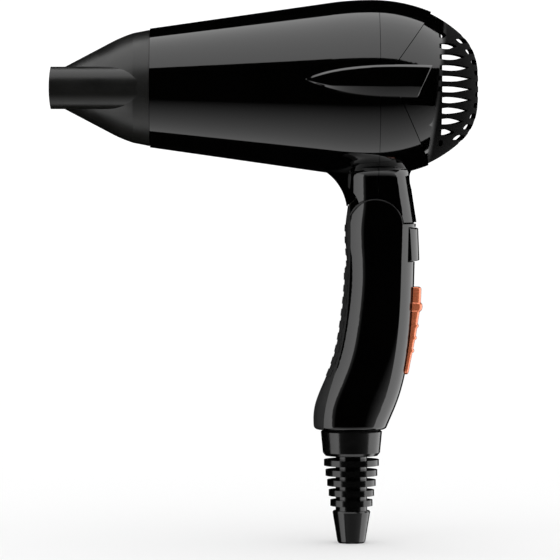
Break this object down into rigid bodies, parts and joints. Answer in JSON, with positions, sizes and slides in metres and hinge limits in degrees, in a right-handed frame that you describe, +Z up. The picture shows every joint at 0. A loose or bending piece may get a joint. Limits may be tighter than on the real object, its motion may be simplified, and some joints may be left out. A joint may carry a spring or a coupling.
{
  "type": "travel hair dryer",
  "caption": "Folding travel hair dryer with a concentrator nozzle, speed slider, cool-air button, blower and heater; the handle folds against the barrel.",
  "frame": {"origin": "in the grip, in the parting plane of the handle, where the fingers close round it", "axes": "+Z up along the upright handle towards the barrel, -X the way the air leaves the nozzle, Y across the dryer; the parting plane is Y = 0"},
  "size_m": [0.1916, 0.0794, 0.2445],
  "materials": {
    "shell_gloss": "high gloss, black",
    "inlay_gloss": "high gloss, black, bright bevelled edge",
    "nozzle_satin": "satin black heat-resistant plastic",
    "duct_black": "matte black moulding",
    "grip_rubber": "matte black soft-touch, ribbed",
    "relief_pvc": "semi-gloss black",
    "slider_copper": "metallic copper lacquer",
    "mica": "layered mica board",
    "heater_wire": "nichrome wire",
    "steel": "zinc plated",
    "motor_steel": "drawn can",
    "nylon_natural": "glass-filled nylon",
    "board": "glass-fibre board",
    "switch_black": "moulded switch body"
  },
  "bodies": {
    "handle": {"handle_left": "shell_gloss", "handle_right": "shell_gloss", "handle_screws": "steel", "grip_strip": "grip_rubber", "strain_relief": "relief_pvc", "cord_clamp": "nylon_natural", "clamp_screws": "steel", "slide_switch": "switch_black", "button_spring": "steel", "button_switch": "switch_black", "hinge_pin": "steel", "friction_washers": "steel"},
    "barrel": {"front_shell": "shell_gloss", "middle_shell": "shell_gloss", "grille_cap": "shell_gloss", "inlay_left": "inlay_gloss", "inlay_right": "inlay_gloss", "outlet_spigot": "duct_black", "outlet_grille": "duct_black", "heat_shield": "mica", "heater_cross": "mica", "heater_coils": "heater_wire", "thermal_cutout": "steel", "fan_housing": "duct_black", "motor_can": "motor_steel", "motor_endcap": "nylon_natural", "rectifier_board": "board", "hinge_knuckle": "nylon_natural", "neck_screw": "steel"},
    "fan": {"impeller": "nylon_natural", "motor_shaft": "steel"},
    "nozzle_ring": {"nozzle_clip_ring": "steel"},
    "nozzle": {"nozzle_shell": "nozzle_satin"},
    "slider": {"switch_slider": "slider_copper"},
    "button": {"cool_button": "shell_gloss"}
  },
  "joints": [
    {"name": "barrel_fold", "type": "hinge", "parent": "handle", "child": "barrel", "pos_m": [0, 0, 0.036], "axis": [0, -1, 0], "range_deg": [0, 90]},
    {"name": "fan_spin", "type": "hinge", "parent": "barrel", "child": "fan", "pos_m": [0, 0, 0.098], "axis": [1, 0, 0], "continuous": true},
    {"name": "nozzle_pull", "type": "slide", "parent": "barrel", "child": "nozzle_ring", "axis": [-1, 0, 0], "range_m": [0, 0.03]},
    {"name": "nozzle_turn", "type": "hinge", "parent": "nozzle_ring", "child": "nozzle", "pos_m": [-0.105, 0, 0.098], "axis": [1, 0, 0], "continuous": true},
    {"name": "speed_slide", "type": "hinge", "parent": "handle", "child": "slider", "pos_m": [-0.19028, 0, 0.01046], "axis": [0, -1, 0], "range_deg": [0, 1.65]},
    {"name": "cool_press", "type": "slide", "parent": "handle", "child": "button", "axis": [-1, 0, 0], "range_m": [0, 0.0015], "stiffness_N_per_m": 800, "springref_m": -0.0005, "deforming": ["button_spring"]}
  ]
}
